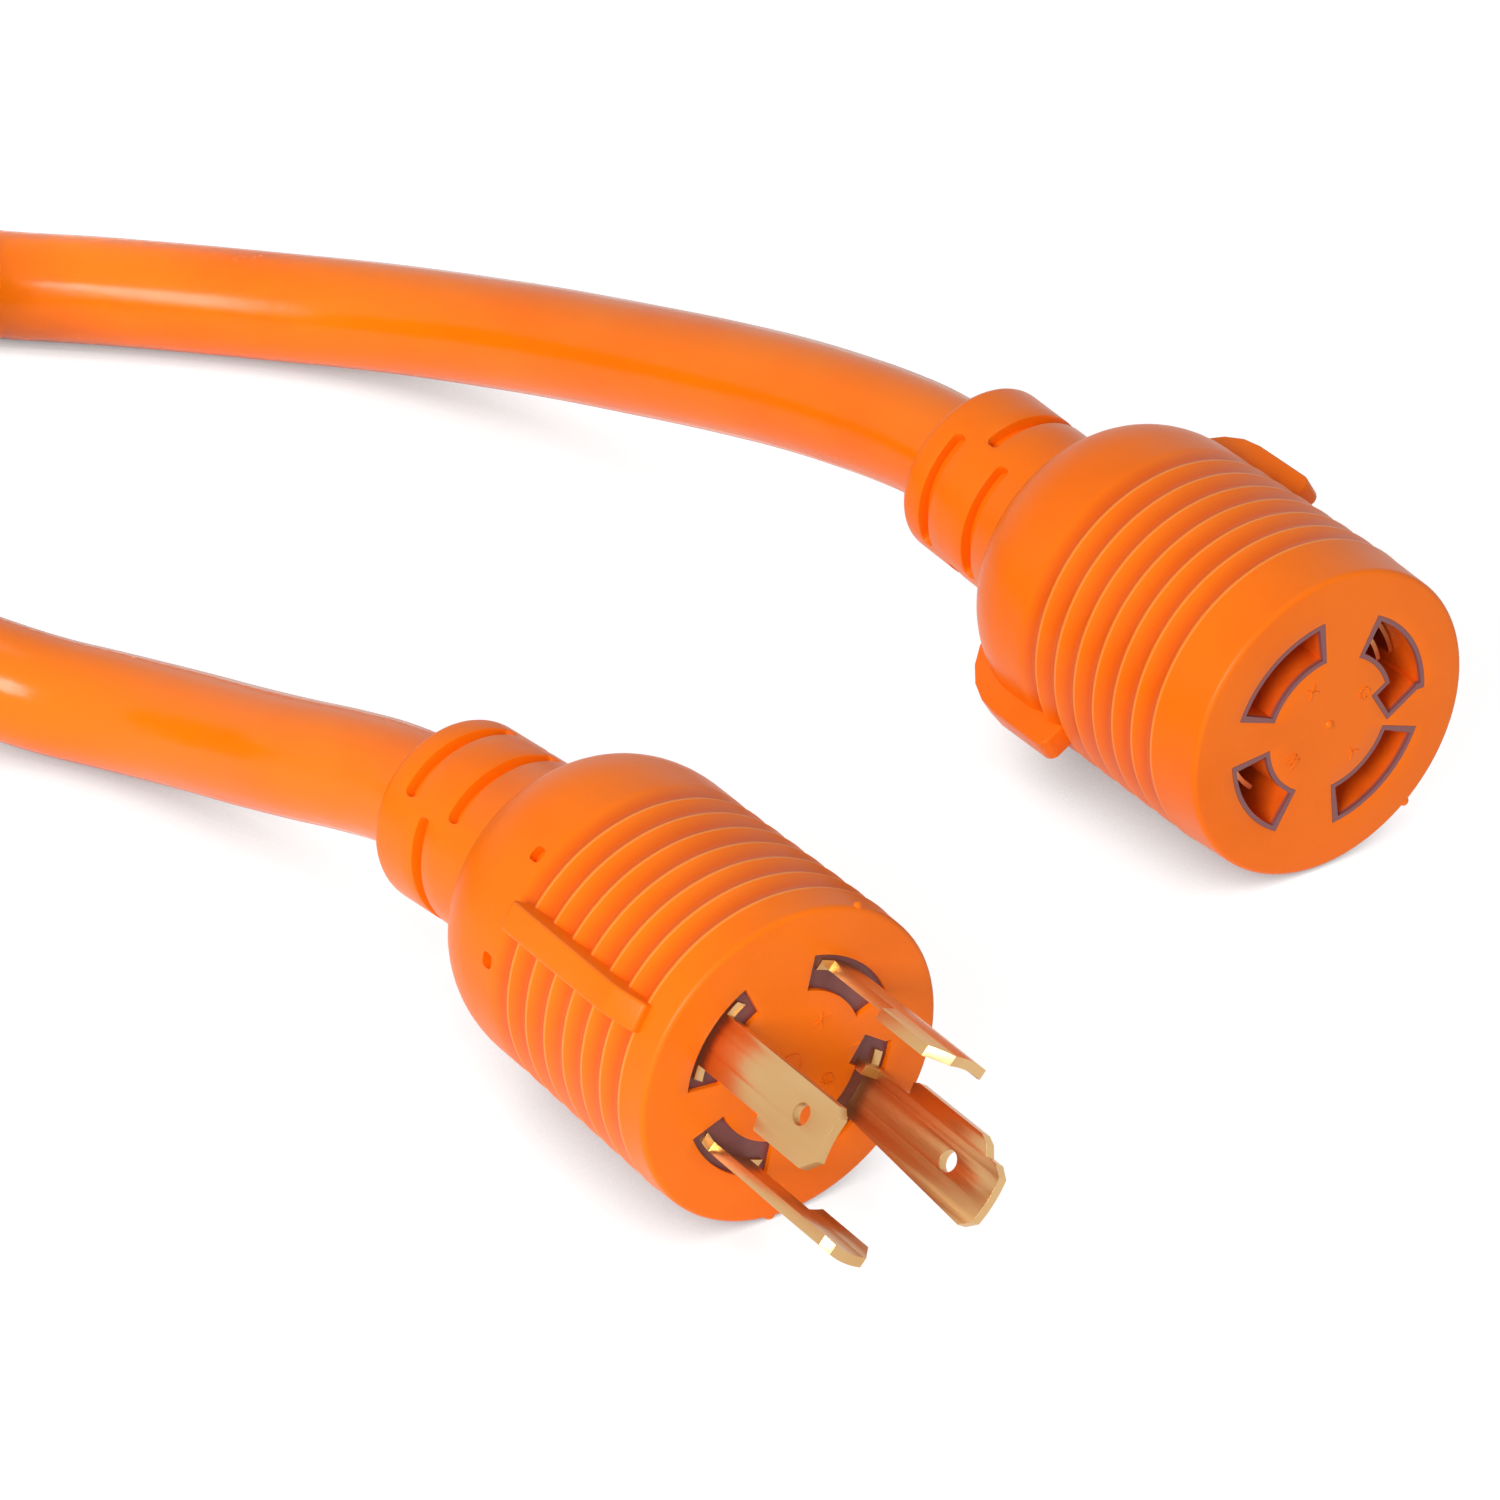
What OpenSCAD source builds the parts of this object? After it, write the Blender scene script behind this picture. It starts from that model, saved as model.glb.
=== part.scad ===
// Locking four-pole power cord: a moulded plug, a moulded connector and a
// jacketed four-conductor cable whose spare length is put away in a coil.
// Millimetres, +Z up.  Both ends lie on the ground and look along +X.
// Each end is drawn in its own face frame: the face is the plane z = 0,
// +z leaves the face, x runs to the right and y up as the face is looked at.

/* [Cable] */
// Outer diameter of the cable jacket
cable_d = 18; // [17:0.5:19]
// Outer diameter of one insulated conductor
wire_d = 4.8; // [4:0.1:5]
// Diameter of the bare copper of one conductor
strand_d = 3.2; // [2.6:0.1:3.4]
// Distance of each conductor from the middle of the cable
wire_lay_r = 4; // [3.6:0.1:4.4]
// Length of a conductor's slanted run between crimp and cable
wire_slant_l = 14; // [13:0.5:15]

/* [Coil] */
// Diameter of the coil between its two columns of turns
coil_d = 180; // [180:2:200]
// Width of the hook-and-loop strap that ties the coil
tie_w = 25; // [16:1:40]
// Thickness of the strap
tie_t = 2; // [1.5:0.1:3]

/* [Plug body] */
// Diameter of the plug at its front edge
plug_rim_d = 49; // [48.6:0.1:50]
// Diameter over the first grip ridge of the plug
plug_crest_d = 49.4; // [49:0.1:51]
// Diameter of the smooth rear part of the plug
plug_barrel_d = 48; // [47:0.1:49]
// Smooth band between the face and the first ridge of the plug
plug_band = 5.5; // [4:0.1:8]
// Length of the plug from its face to the start of its shoulder
plug_barrel_l = 44; // [42:0.5:50]

/* [Connector body] */
// Diameter of the connector at its front edge
conn_rim_d = 50; // [49:0.1:51]
// Diameter over the first grip ridge of the connector
conn_crest_d = 51; // [50.2:0.1:52]
// Diameter of the smooth rear part of the connector
conn_barrel_d = 50.4; // [49.4:0.1:51]
// Smooth band between the face and the first ridge of the connector
conn_band = 9.8; // [6:0.1:12]
// Length of the connector from its face to the start of its shoulder
conn_barrel_l = 48; // [46:0.5:54]
// How far the connector's axis lies to the left of the plug's
conn_side = 116.6; // [80:0.1:160]
// How far the connector's face stands back from the plug's
conn_back = 28.9; // [0:0.1:40]

/* [Grip] */
// Number of grip ridges on each body
ridge_count = 7; // [4:1:7]
// Distance from one ridge to the next
ridge_pitch = 4.75; // [4:0.05:5]
// Depth of the valleys between the ridges
ridge_depth = 0.65; // [0.2:0.05:0.8]
// Length of the short slope behind each ridge
ridge_fall = 1.4; // [0.8:0.1:2.4]
// Radius of the rounded edge round each face
rim_round = 0.8; // [0.3:0.1:1.5]
// Width of the two finger bars
bar_w = 4.4; // [3.6:0.1:6]
// Height of the finger bars over the smooth barrel
bar_h = 3.8; // [2:0.1:4.5]
// Angle of the plug's upper finger bar, seen from its face
plug_bar_angle = 148.8; // [140:0.1:155]
// Angle of the connector's upper finger bar, seen from its face
conn_bar_angle = 32; // [25:0.5:40]
// Where the plug's finger bars begin behind the face
plug_bar_from = 4.6; // [2:0.1:6]
// Length of the sloped front of the plug's finger bars
plug_bar_slope = 5.2; // [3:0.1:9]
// Height of the plug's finger bars at their front end
plug_bar_nose = 1.8; // [1:0.1:2]
// Where the plug's finger bars end behind the face
plug_bar_to = 35.5; // [30:0.5:40]
// Where the connector's finger bars begin behind the face
conn_bar_from = 35.5; // [30:0.5:44]

/* [Strain relief] */
// Length of the rounded shoulder between barrel and strain relief
shoulder_l = 13.5; // [10:0.5:18]
// Diameter of the foot of the shoulder
shoulder_foot_d = 30; // [29:0.5:34]
// Outer diameter of the strain relief
collar_d = 28.6; // [27:0.1:29]
// Length of the strain relief behind the shoulder
collar_l = 26; // [20:0.5:40]
// Radius of the rounded rear edge of the strain relief
collar_round = 1.5; // [0.5:0.1:3]
// Width of the flex slots round the strain relief
flex_slot_w = 2.3; // [1.5:0.1:3]
// Depth of the flex slots
flex_slot_depth = 1.9; // [1:0.1:3]
// Angle that one flex slot runs round the strain relief
flex_slot_span = 84; // [60:1:85]
// Middle angle of the plug's two rows of paired flex slots
plug_slot_angle = 100.5; // [80:0.5:120]
// Middle angle of the connector's two rows of paired flex slots
conn_slot_angle = 166; // [150:0.5:180]
// How far the plug's strain relief droops towards the ground
plug_droop = 4; // [0:0.5:6]
// How far the connector's strain relief rises from the ground
conn_rise = 5.5; // [0:0.5:6]
// How far each strain relief leans sideways with its cable
collar_lean = 3; // [0:0.5:6]

/* [Faces] */
// Thickness of the orange skin in front of each core
skin_t = 0.8; // [0.5:0.1:1.5]
// Inner radius of the arc slots and windows
slot_in_r = 11.7; // [11:0.1:12.5]
// Outer radius of the arc slots and windows
slot_out_r = 17.2; // [16.8:0.1:18]
// Half the angle of the connector's two plain hot slots
hot_slot_half = 28.7; // [26:0.1:31]
// Half the angle of the connector's neutral slot
neutral_slot_half = 24; // [22:0.1:28]
// Half the angle of the connector's ground slot
ground_slot_half = 27.2; // [25:0.1:30]
// Half the angle of each window round a blade
window_half = 28.5; // [26:0.5:31]
// Width of the core's lip round each connector slot
lip_w = 0.7; // [0.4:0.1:1]
// Width of the inward leg of the ground slot
leg_w = 4.7; // [3:0.1:5]
// Distance of that leg from the middle line of the ground slot
leg_off = 3; // [2:0.1:4]
// How near the connector's leg comes to the middle of the face
conn_leg_r = 8.6; // [8:0.1:10]
// How near the leg of the plug's ground window comes to the middle
plug_leg_r = 9.9; // [8:0.1:11]

/* [Blades] */
// Outer radius of the ring on which the four blades lie
blade_ring_r = 16.2; // [15.8:0.1:16.6]
// Thickness of the brass of a blade
blade_t = 1.5; // [1:0.1:1.7]
// Length of the live and neutral blades in front of the face
blade_l = 27.5; // [24:0.5:30]
// Length of the ground blade, which mates first
ground_blade_l = 30.3; // [26:0.1:31]
// Width of a live blade's neck
neck_w = 8; // [6:0.1:9]
// How far the locking hook stands out beside the neck
hook_w = 2.3; // [1.5:0.1:3]
// Distance from the face to the hook of a live blade
hook_from = 13.8; // [12:0.1:16]
// Distance from the face to the hook of the ground blade
ground_hook_from = 8.6; // [7:0.1:12]
// Diameter of the hole in the neutral and ground blades
blade_hole_d = 3.2; // [2:0.1:4]
// Width of a blade's root inside the core
root_w = 12.2; // [10:0.1:13]

/* [Cores] */
// Diameter of the moulded cores inside both bodies
core_d = 38.6; // [37:0.2:40]
// Depth of the plug's core from face to back
plug_core_l = 15; // [12:0.5:20]
// Depth of the connector's core from face to back
conn_core_l = 33; // [32:0.5:36]
// Thickness of the cap that closes the connector's core
cap_t = 2.5; // [1.5:0.1:4]
// Thickness of the brass strip of a female contact
leaf_t = 0.7; // [0.4:0.1:0.8]
// Depth at which the contact leaves begin behind the face
leaf_from = 6; // [5.5:0.1:9]
// Outer diameter of each crimp barrel
crimp_d = 5.8; // [5:0.1:6]
// Length of each crimp barrel
crimp_l = 10; // [8:0.5:12]

/* [Hidden] */
$fn = 96;

// Small amount by which a cut runs past the surface that it opens.
past = 0.5;

// Middle angles of the four poles, seen from each face.  The ground pole
// all but lines up with a finger bar and the others keep their places from it,
// so the connector's pattern is the mirror image of the plug's.
live_angle = 96;
plug_ground = plug_bar_angle - 180 - 3.8;
plug_poles = [plug_ground - live_angle, plug_ground + 180 - live_angle,
    plug_ground + 180, plug_ground];
conn_ground = conn_bar_angle + 0.3;
conn_poles = [conn_ground + live_angle, conn_ground + live_angle - 180,
    conn_ground + 180, conn_ground];
X = 0;
Y = 1;
W = 2;
G = 3;

// Where the bodies stand.  The part's own origin is the middle of the
// footprint of everything but the cable, on the ground.
plug_axis_z = plug_crest_d / 2;
conn_axis_z = conn_crest_d / 2;
function side_reach(crest, barrel, bar_angle) = max(crest / 2,
    (barrel / 2 + bar_h) * abs(cos(bar_angle)) + bar_w / 2 * abs(sin(bar_angle)));
plug_side_reach = side_reach(plug_crest_d, plug_barrel_d, plug_bar_angle);
conn_side_reach = side_reach(conn_crest_d, conn_barrel_d, conn_bar_angle);
conn_tilt = acos(cos(conn_rise) * cos(collar_lean));
conn_end_x = -conn_back - conn_barrel_l - shoulder_l - collar_round
    - (collar_l - collar_round) * cos(conn_tilt)
    - (collar_d / 2 - collar_round) * sin(conn_tilt);
origin_x = (ground_blade_l + conn_end_x) / 2;
origin_y = (conn_side + conn_side_reach - plug_side_reach) / 2;

// Core, wires and crimps.
crimp_r = blade_ring_r - crimp_d / 2 + 0.1;
slot_floor = conn_core_l - cap_t - 1;
plug_crimp_z = -plug_core_l - 1;
conn_crimp_z = -conn_core_l - 1;
wire_past = 0.9;
knuckle_d = wire_d + 0.4;

// The cable's route where it is not coiled: [x, y, height of its underside],
// from the plug's face along the ground, with the plug's face at x = 0, y = 0.
plug_route = [
    [-58, 0, 15.7], [-66, -0.4, 15.2], [-75, -0.8, 14.6], [-84, -1.4, 13.8],
    [-95, -2.8, 12.4], [-105, -5, 10.4], [-115, -7.5, 8], [-126, -9.6, 5.2],
    [-137, -12, 2.8], [-147, -15, 1], [-155, -18.6, 0.2], [-162, -23, 0.2],
    [-170, -29.6, 2], [-180, -39.2, 6], [-188.5, -52, 11], [-194.5, -66.5, 15.5],
    [-198, -86, 18]];
conn_route = [
    [-90.4, 116.6, 16.5], [-99, 116.1, 17.3], [-107.7, 115.7, 18.2],
    [-116.3, 115.2, 18.9], [-124.5, 114.4, 19.1], [-133, 113.1, 18.6],
    [-143, 111.1, 17.6], [-154, 108.6, 16.2], [-164, 106, 14.6],
    [-174, 103.3, 12.8], [-184, 100.6, 10.8], [-194.5, 97.7, 8.7],
    [-205, 94.5, 6.6], [-215, 91, 4.6], [-224, 87.2, 3], [-232, 83, 1.8],
    [-239.5, 78.1, 0.9], [-246, 72.8, 0.4], [-252.5, 67, 0.1], [-258.5, 61.1, 0],
    [-270, 48.8, 0], [-281, 36, 0], [-292.3, 25.1, 0], [-305.6, 16.8, 0],
    [-320.7, 11, 0]];
coil_at = [-297, -86];

// The coil: two columns of turns, two layers high, with one more turn that
// crosses over on top.
coil_in_r = coil_d / 2 - cable_d;
coil_out_r = coil_d / 2 + cable_d;
coil_h = 3 * cable_d;

function unit(v) = v / norm(v);

// A smooth tube along a list of points: one ring of corners at each point,
// at right angles to the way there, and two flat ends.
function way(p, i) =
    unit(p[min(i + 1, len(p) - 1)] - p[max(i - 1, 0)]);
function across(t) = unit(cross([0, 0, 1], t));
module tube(p, d, sides = 12) {
    r = d / 2 / cos(90 / sides);
    n = len(p);
    points = [for (i = [0:n - 1]) let (t = way(p, i), a = across(t), b = cross(t, a))
        for (k = [0:sides - 1]) p[i] + r * (cos(360 * k / sides) * a + sin(360 * k / sides) * b)];
    walls = [for (i = [0:n - 2], k = [0:sides - 1]) let (m = (k + 1) % sides)
        [i * sides + k, (i + 1) * sides + k, (i + 1) * sides + m, i * sides + m]];
    ends = [[for (k = [0:sides - 1]) k],
        [for (k = [sides - 1:-1:0]) (n - 1) * sides + k]];
    polyhedron(points, concat(walls, ends), 4);
}
function lifted(route) = [for (p = route) [p[0], p[1], p[2] + cable_d / 2]];

// Puts a face frame in place, with +z along +X and y up.
module at_plug()
    translate([-origin_x, -origin_y, plug_axis_z]) rotate([90, 0, 90]) children();
module at_connector()
    translate([-conn_back - origin_x, conn_side - origin_y, conn_axis_z])
        rotate([90, 0, 90]) children();
module at_ground() translate([-origin_x, -origin_y, 0]) children();

// Leans whatever lies behind a shoulder of length l about the shoulder's foot.
module leaning(foot, droop, lean)
    translate([0, 0, -foot]) rotate([-droop, lean, 0]) translate([0, 0, foot]) children();

// Outline of a ridged barrel with its shoulder, as [radius, z].
function ridge(i, crest, barrel) = crest + (barrel + 0.1 - crest) * i / (ridge_count - 1);
function barrel_outline(rim, crest, barrel, band, length) = concat(
    [[0, 0]],
    [for (a = [0:15:90]) [rim - rim_round + rim_round * sin(a), -rim_round + rim_round * cos(a)]],
    [for (i = [0:ridge_count - 1], step = [0, 1])
        let (z = -band - i * ridge_pitch, r = ridge(i, crest, barrel))
            [r - ridge_depth * step, z - ridge_fall * step]],
    [[barrel, -band - ridge_count * ridge_pitch]],
    [for (a = [0:9:90])
        [shoulder_foot_d / 2 + (barrel - shoulder_foot_d / 2) * cos(a), -length - shoulder_l * sin(a)]],
    [[0, -length - shoulder_l]]);

module barrel(rim, crest, barrel, band, length)
    rotate_extrude() polygon(barrel_outline(rim / 2, crest / 2, barrel / 2, band, length));

// Two finger bars on opposite sides; their outline is [radius, z] and their
// roots are buried in the barrel.
bar_root = 3;
module finger_bars(angle) for (turn = [0, 180])
    rotate([0, 0, angle + turn]) rotate([90, 0, 0])
        linear_extrude(bar_w, center = true) children();

// The plug's bars lie along the barrel and slope up from the front.
module plug_bar_outline() {
    root = plug_barrel_d / 2 - bar_root;
    top = plug_barrel_d / 2 + bar_h;
    polygon([[root, -plug_bar_from], [plug_barrel_d / 2 + plug_bar_nose, -plug_bar_from],
        [top, -plug_bar_from - plug_bar_slope],
        [top, -plug_bar_to + rim_round], [top - rim_round, -plug_bar_to],
        [root, -plug_bar_to]]);
}

// The connector's bars begin square and follow the shoulder down to its foot.
module conn_bar_outline() {
    foot = shoulder_foot_d / 2;
    top = conn_barrel_d / 2 + bar_h;
    polygon(concat(
        [[foot - bar_root, -conn_bar_from], [top - rim_round, -conn_bar_from],
            [top, -conn_bar_from - rim_round]],
        [for (a = [0:15:75])
            [foot + (top - foot) * cos(a), -conn_barrel_l - shoulder_l * sin(a)]],
        [[foot - bar_root, -conn_barrel_l - shoulder_l * sin(75)]]));
}

module collar(foot) {
    end = foot + collar_l;
    rotate_extrude() polygon(concat(
        [[0, -foot + 5], [collar_d / 2, -foot + 5]],
        [for (a = [0:15:90]) [collar_d / 2 - collar_round + collar_round * cos(a),
            -end + collar_round - collar_round * sin(a)]],
        [[0, -end]]));
}

// One flex slot: a groove that runs part of the way round the strain relief.
// Two rows of them on two sides, and a row between them on the other two.
slot_rows = [0.38, 0.58, 0.78];
module flex_slot(z, middle)
    intersection() {
        translate([0, 0, z - flex_slot_w / 2]) difference() {
            cylinder(h = flex_slot_w, d = collar_d + 2 * past);
            translate([0, 0, -past])
                cylinder(h = flex_slot_w + 2 * past, d = collar_d - 2 * flex_slot_depth);
        }
        rotate([0, 0, middle]) translate([0, 0, z - flex_slot_w])
            linear_extrude(2 * flex_slot_w)
                polygon([[0, 0], [collar_d * cos(flex_slot_span / 2), -collar_d * sin(flex_slot_span / 2)],
                    [collar_d, 0],
                    [collar_d * cos(flex_slot_span / 2), collar_d * sin(flex_slot_span / 2)]]);
    }
module flex_slots(foot, middle)
    for (turn = [0, 180], row = [0, 1, 2])
        flex_slot(-foot - collar_l * slot_rows[row], middle + turn + (row == 1 ? 90 : 0));

// Plan of an arc slot between two radii, grown by g on every side.
module arc_plan(middle, half, g = 0) {
    grow_angle = g / slot_in_r * 180 / PI;
    corners = [for (s = [-1, 1]) middle + s * (half + grow_angle)];
    intersection() {
        difference() {
            circle(r = slot_out_r + g);
            circle(r = slot_in_r - g);
        }
        polygon(concat([[0, 0]],
            [for (k = [0:4]) let (a = corners[0] + (corners[1] - corners[0]) * k / 4)
                (slot_out_r + g) * 1.3 * [cos(a), sin(a)]]));
    }
}

// The ground slot has a leg that runs in towards the middle beside its middle
// line; the ground window has one too, on the other side.
module leg_plan(pole_angle, inner, side, g = 0)
    rotate(pole_angle) translate([inner - g, side * (leg_off + leg_w / 2) - leg_w / 2 - g])
        square([(slot_in_r + slot_out_r) / 2 - inner + 2 * g, leg_w + 2 * g]);
module slot_plan(pole, g = 0) {
    half = pole == G ? ground_slot_half : pole == W ? neutral_slot_half : hot_slot_half;
    arc_plan(conn_poles[pole], half, g);
    if (pole == G) leg_plan(conn_poles[G], conn_leg_r, -1, g);
}
module window_plan(pole) {
    arc_plan(plug_poles[pole], window_half);
    if (pole == G) leg_plan(plug_poles[G], plug_leg_r, 1);
}

// ---- Inside: conductors, bare ends and crimps -------------------------

function crimp_at(poles, i) = crimp_r * [cos(poles[i]), sin(poles[i])];

// A conductor: out of the crimp, in a slant towards the middle, and along the
// cable's lay into the jacket.
module wire_run(poles, i, crimp_z, foot) {
    top = crimp_z - crimp_l - 1;
    knee = top - wire_d / 2;
    inward = crimp_r - wire_lay_r;
    lower = knee - sqrt(wire_slant_l * wire_slant_l - inward * inward);
    rotate([0, 0, poles[i]]) {
        translate([crimp_r, 0, knee]) {
            cylinder(h = top - knee, d = wire_d, $fn = 32);
            sphere(d = knuckle_d, $fn = 32);
            rotate([0, 180 + asin(inward / wire_slant_l), 0])
                cylinder(h = wire_slant_l, d = wire_d, $fn = 32);
        }
        translate([wire_lay_r, 0, lower]) sphere(d = knuckle_d, $fn = 32);
        translate([wire_lay_r, 0, -foot - wire_past])
            cylinder(h = lower + foot + wire_past, d = wire_d, $fn = 32);
    }
}
module bare_end(poles, i, crimp_z)
    translate([crimp_at(poles, i)[0], crimp_at(poles, i)[1], crimp_z - crimp_l - 1])
        cylinder(h = crimp_l, d = strand_d, $fn = 32);
module crimp_space(poles, i, crimp_z)
    translate([crimp_at(poles, i)[0], crimp_at(poles, i)[1], crimp_z - crimp_l])
        cylinder(h = crimp_l + 1, d = crimp_d, $fn = 48);
module crimp(poles, i, crimp_z)
    difference() {
        crimp_space(poles, i, crimp_z);
        translate([crimp_at(poles, i)[0], crimp_at(poles, i)[1], crimp_z - crimp_l - past])
            cylinder(h = crimp_l - 0.5 + past, d = strand_d, $fn = 32);
    }

// What the moulding flows round behind a core: conductors, bare ends, crimps.
module wiring_space(poles, crimp_z, foot)
    for (i = [0:3]) {
        wire_run(poles, i, crimp_z, foot);
        bare_end(poles, i, crimp_z);
        crimp_space(poles, i, crimp_z);
    }
module cable_bore(foot)
    translate([0, 0, -foot - collar_l - past]) cylinder(h = collar_l + past, d = cable_d);

// ---- Plug -------------------------------------------------------------

plug_foot = plug_barrel_l + shoulder_l;
dimple_d = 1.6;
dimple_back = 39.5;
dimple_turn = 22;

module plug_body() color("darkorange") at_plug() difference() {
    union() {
        barrel(plug_rim_d, plug_crest_d, plug_barrel_d, plug_band, plug_barrel_l);
        finger_bars(plug_bar_angle) plug_bar_outline();
        leaning(plug_foot, plug_droop, collar_lean) collar(plug_foot);
    }
    leaning(plug_foot, plug_droop, collar_lean) {
        flex_slots(plug_foot, plug_slot_angle);
        cable_bore(plug_foot);
    }
    translate([0, 0, -plug_core_l]) cylinder(h = plug_core_l - skin_t, d = core_d);
    for (pole = [X, Y, W, G])
        translate([0, 0, -skin_t - past]) linear_extrude(skin_t + 2 * past) window_plan(pole);
    for (side = [-1, 1], turn = [0, 180])
        rotate([0, 0, plug_bar_angle + side * dimple_turn + turn])
            translate([plug_barrel_d / 2 - 1, 0, -dimple_back])
                rotate([0, 90, 0]) cylinder(h = 2, d = dimple_d, $fn = 24);
    wiring_space(plug_poles, plug_crimp_z, plug_foot);
}

module plug_core() color([0.45, 0.25, 0.24]) at_plug() difference() {
    translate([0, 0, -plug_core_l]) cylinder(h = plug_core_l - skin_t, d = core_d);
    for (pole = [X, Y, W, G]) blade(pole);
}

// Width and length of the tongue between a blade's root and its crimp, and how
// far in front of the face the two holes are.
tail_w = 4;
tail_l = 6;
ground_hole_from = 20.5;
neutral_hole_from = 21.2;

// A blade is a plate bent to the blade ring.  Its flat outline is [across,
// forward]: a wide root, a neck, the locking hook and a chamfered tip.
module live_outline() polygon([
    [-root_w / 2, -plug_core_l + 3], [root_w / 2, -plug_core_l + 3], [root_w / 2, -0.3],
    [neck_w / 2, -0.3], [neck_w / 2, hook_from], [neck_w / 2 + hook_w, hook_from],
    [neck_w / 2 + hook_w, blade_l - 3], [neck_w / 2 + hook_w - 2.5, blade_l],
    [1.2 - neck_w / 2, blade_l], [-neck_w / 2, blade_l - 1.5], [-neck_w / 2, -0.3],
    [-root_w / 2, -0.3]]);
module ground_outline() polygon([
    [-root_w / 2, -plug_core_l + 3], [root_w / 2, -plug_core_l + 3], [root_w / 2, -0.3],
    [neck_w / 2, -0.3], [neck_w / 2, ground_hook_from],
    [neck_w / 2 + hook_w - 0.5, ground_hook_from + 0.3],
    [neck_w / 2 + hook_w, ground_hook_from + 1.4],
    [neck_w / 2 + hook_w, ground_blade_l - 5.6],
    [neck_w / 2 + hook_w - 0.7, ground_blade_l - 4.4],
    [neck_w / 2, ground_blade_l - 3.6], [neck_w / 2, ground_blade_l - 1.5],
    [neck_w / 2 - 1.3, ground_blade_l], [-neck_w / 2 - 0.4, ground_blade_l],
    [-neck_w / 2 - 1.8, ground_blade_l - 1.5], [-neck_w / 2, -0.3], [-root_w / 2, -0.3]]);
module bent_plate(angle, length)
    intersection() {
        translate([0, 0, -plug_core_l + 3 - past]) difference() {
            cylinder(h = length + plug_core_l, r = blade_ring_r);
            translate([0, 0, -past])
                cylinder(h = length + plug_core_l + 2 * past, r = blade_ring_r - blade_t);
        }
        rotate([0, 0, angle]) rotate([90, 0, 90]) linear_extrude(blade_ring_r + past) children();
    }
module blade_tail(angle)
    rotate([0, 0, angle])
        translate([blade_ring_r - blade_t - 1, -tail_w / 2, -plug_core_l - 2])
            cube([blade_t, tail_w, tail_l]);
module blade_hole(angle, forward)
    rotate([0, 0, angle]) translate([blade_ring_r - blade_t - 1, 0, forward])
        rotate([0, 90, 0]) cylinder(h = blade_t + 2, d = blade_hole_d, $fn = 32);
// The ground blade's root is folded inwards along one edge.
module ground_leg()
    rotate([0, 0, plug_poles[G]])
        translate([blade_ring_r - blade_t - 3.2, neck_w / 2 - blade_t, -plug_core_l + 3])
            cube([3.9, blade_t, plug_core_l - 1.5]);
module blade(pole) {
    difference() {
        union() {
            if (pole == G) {
                bent_plate(plug_poles[G], ground_blade_l) ground_outline();
                ground_leg();
            } else bent_plate(plug_poles[pole], blade_l) live_outline();
            blade_tail(plug_poles[pole]);
            crimp(plug_poles, pole, plug_crimp_z);
        }
        if (pole == G) blade_hole(plug_poles[G], ground_hole_from);
        if (pole == W) blade_hole(plug_poles[W], neutral_hole_from);
    }
}
module plug_blade(pole) color("gold") at_plug() blade(pole);
module plug_wire(pole, shade) color(shade) at_plug()
    wire_run(plug_poles, pole, plug_crimp_z, plug_foot);
module plug_conductors() color("chocolate") at_plug()
    for (i = [0:3]) bare_end(plug_poles, i, plug_crimp_z);

// ---- Connector --------------------------------------------------------

conn_foot = conn_barrel_l + shoulder_l;

module connector_body() color("darkorange") at_connector() difference() {
    union() {
        barrel(conn_rim_d, conn_crest_d, conn_barrel_d, conn_band, conn_barrel_l);
        finger_bars(conn_bar_angle) conn_bar_outline();
        leaning(conn_foot, -conn_rise, collar_lean) collar(conn_foot);
    }
    leaning(conn_foot, -conn_rise, collar_lean) {
        flex_slots(conn_foot, conn_slot_angle);
        cable_bore(conn_foot);
    }
    translate([0, 0, -conn_core_l]) cylinder(h = conn_core_l - skin_t, d = core_d);
    for (pole = [X, Y, W, G])
        translate([0, 0, -skin_t - past]) linear_extrude(skin_t + 2 * past) slot_plan(pole, lip_w);
    wiring_space(conn_poles, conn_crimp_z, conn_foot);
}

// The core carries a thin lip round each slot that comes flush with the face.
module connector_core() color([0.45, 0.25, 0.24]) at_connector() difference() {
    union() {
        translate([0, 0, -conn_core_l + cap_t])
            cylinder(h = conn_core_l - cap_t - skin_t, d = core_d);
        for (pole = [X, Y, W, G])
            translate([0, 0, -skin_t - 1]) linear_extrude(skin_t + 1) slot_plan(pole, lip_w);
    }
    for (pole = [X, Y, W, G]) translate([0, 0, -slot_floor])
        linear_extrude(slot_floor + past) slot_plan(pole);
    for (pole = [X, Y, W, G]) contact_tail(pole);
}
module connector_core_cap() color([0.35, 0.2, 0.2]) at_connector() difference() {
    translate([0, 0, -conn_core_l]) cylinder(h = cap_t, d = core_d);
    for (pole = [X, Y, W, G]) contact_tail(pole);
}

// A female contact: two curved leaves that grip the blade between them, a
// floor that joins them, and a tail that ends in a crimp barrel.
leaf_half = 18;
grip_gap = 0.1;
module leaf(radius, angle)
    rotate([0, 0, angle - leaf_half]) rotate_extrude(angle = 2 * leaf_half)
        translate([radius, -slot_floor]) square([leaf_t, slot_floor - leaf_from]);
module contact_floor(angle)
    rotate([0, 0, angle - leaf_half]) rotate_extrude(angle = 2 * leaf_half)
        translate([blade_ring_r - blade_t - leaf_t - grip_gap, -slot_floor])
            square([blade_t + 2 * leaf_t + 2 * grip_gap, leaf_t]);
module contact_tail(pole) {
    angle = conn_poles[pole];
    rotate([0, 0, angle]) translate([crimp_r - 0.75, -tail_w / 2, -conn_core_l - 2])
        cube([1.5, tail_w, conn_core_l + 2 - slot_floor + leaf_t / 2]);
}
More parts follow.
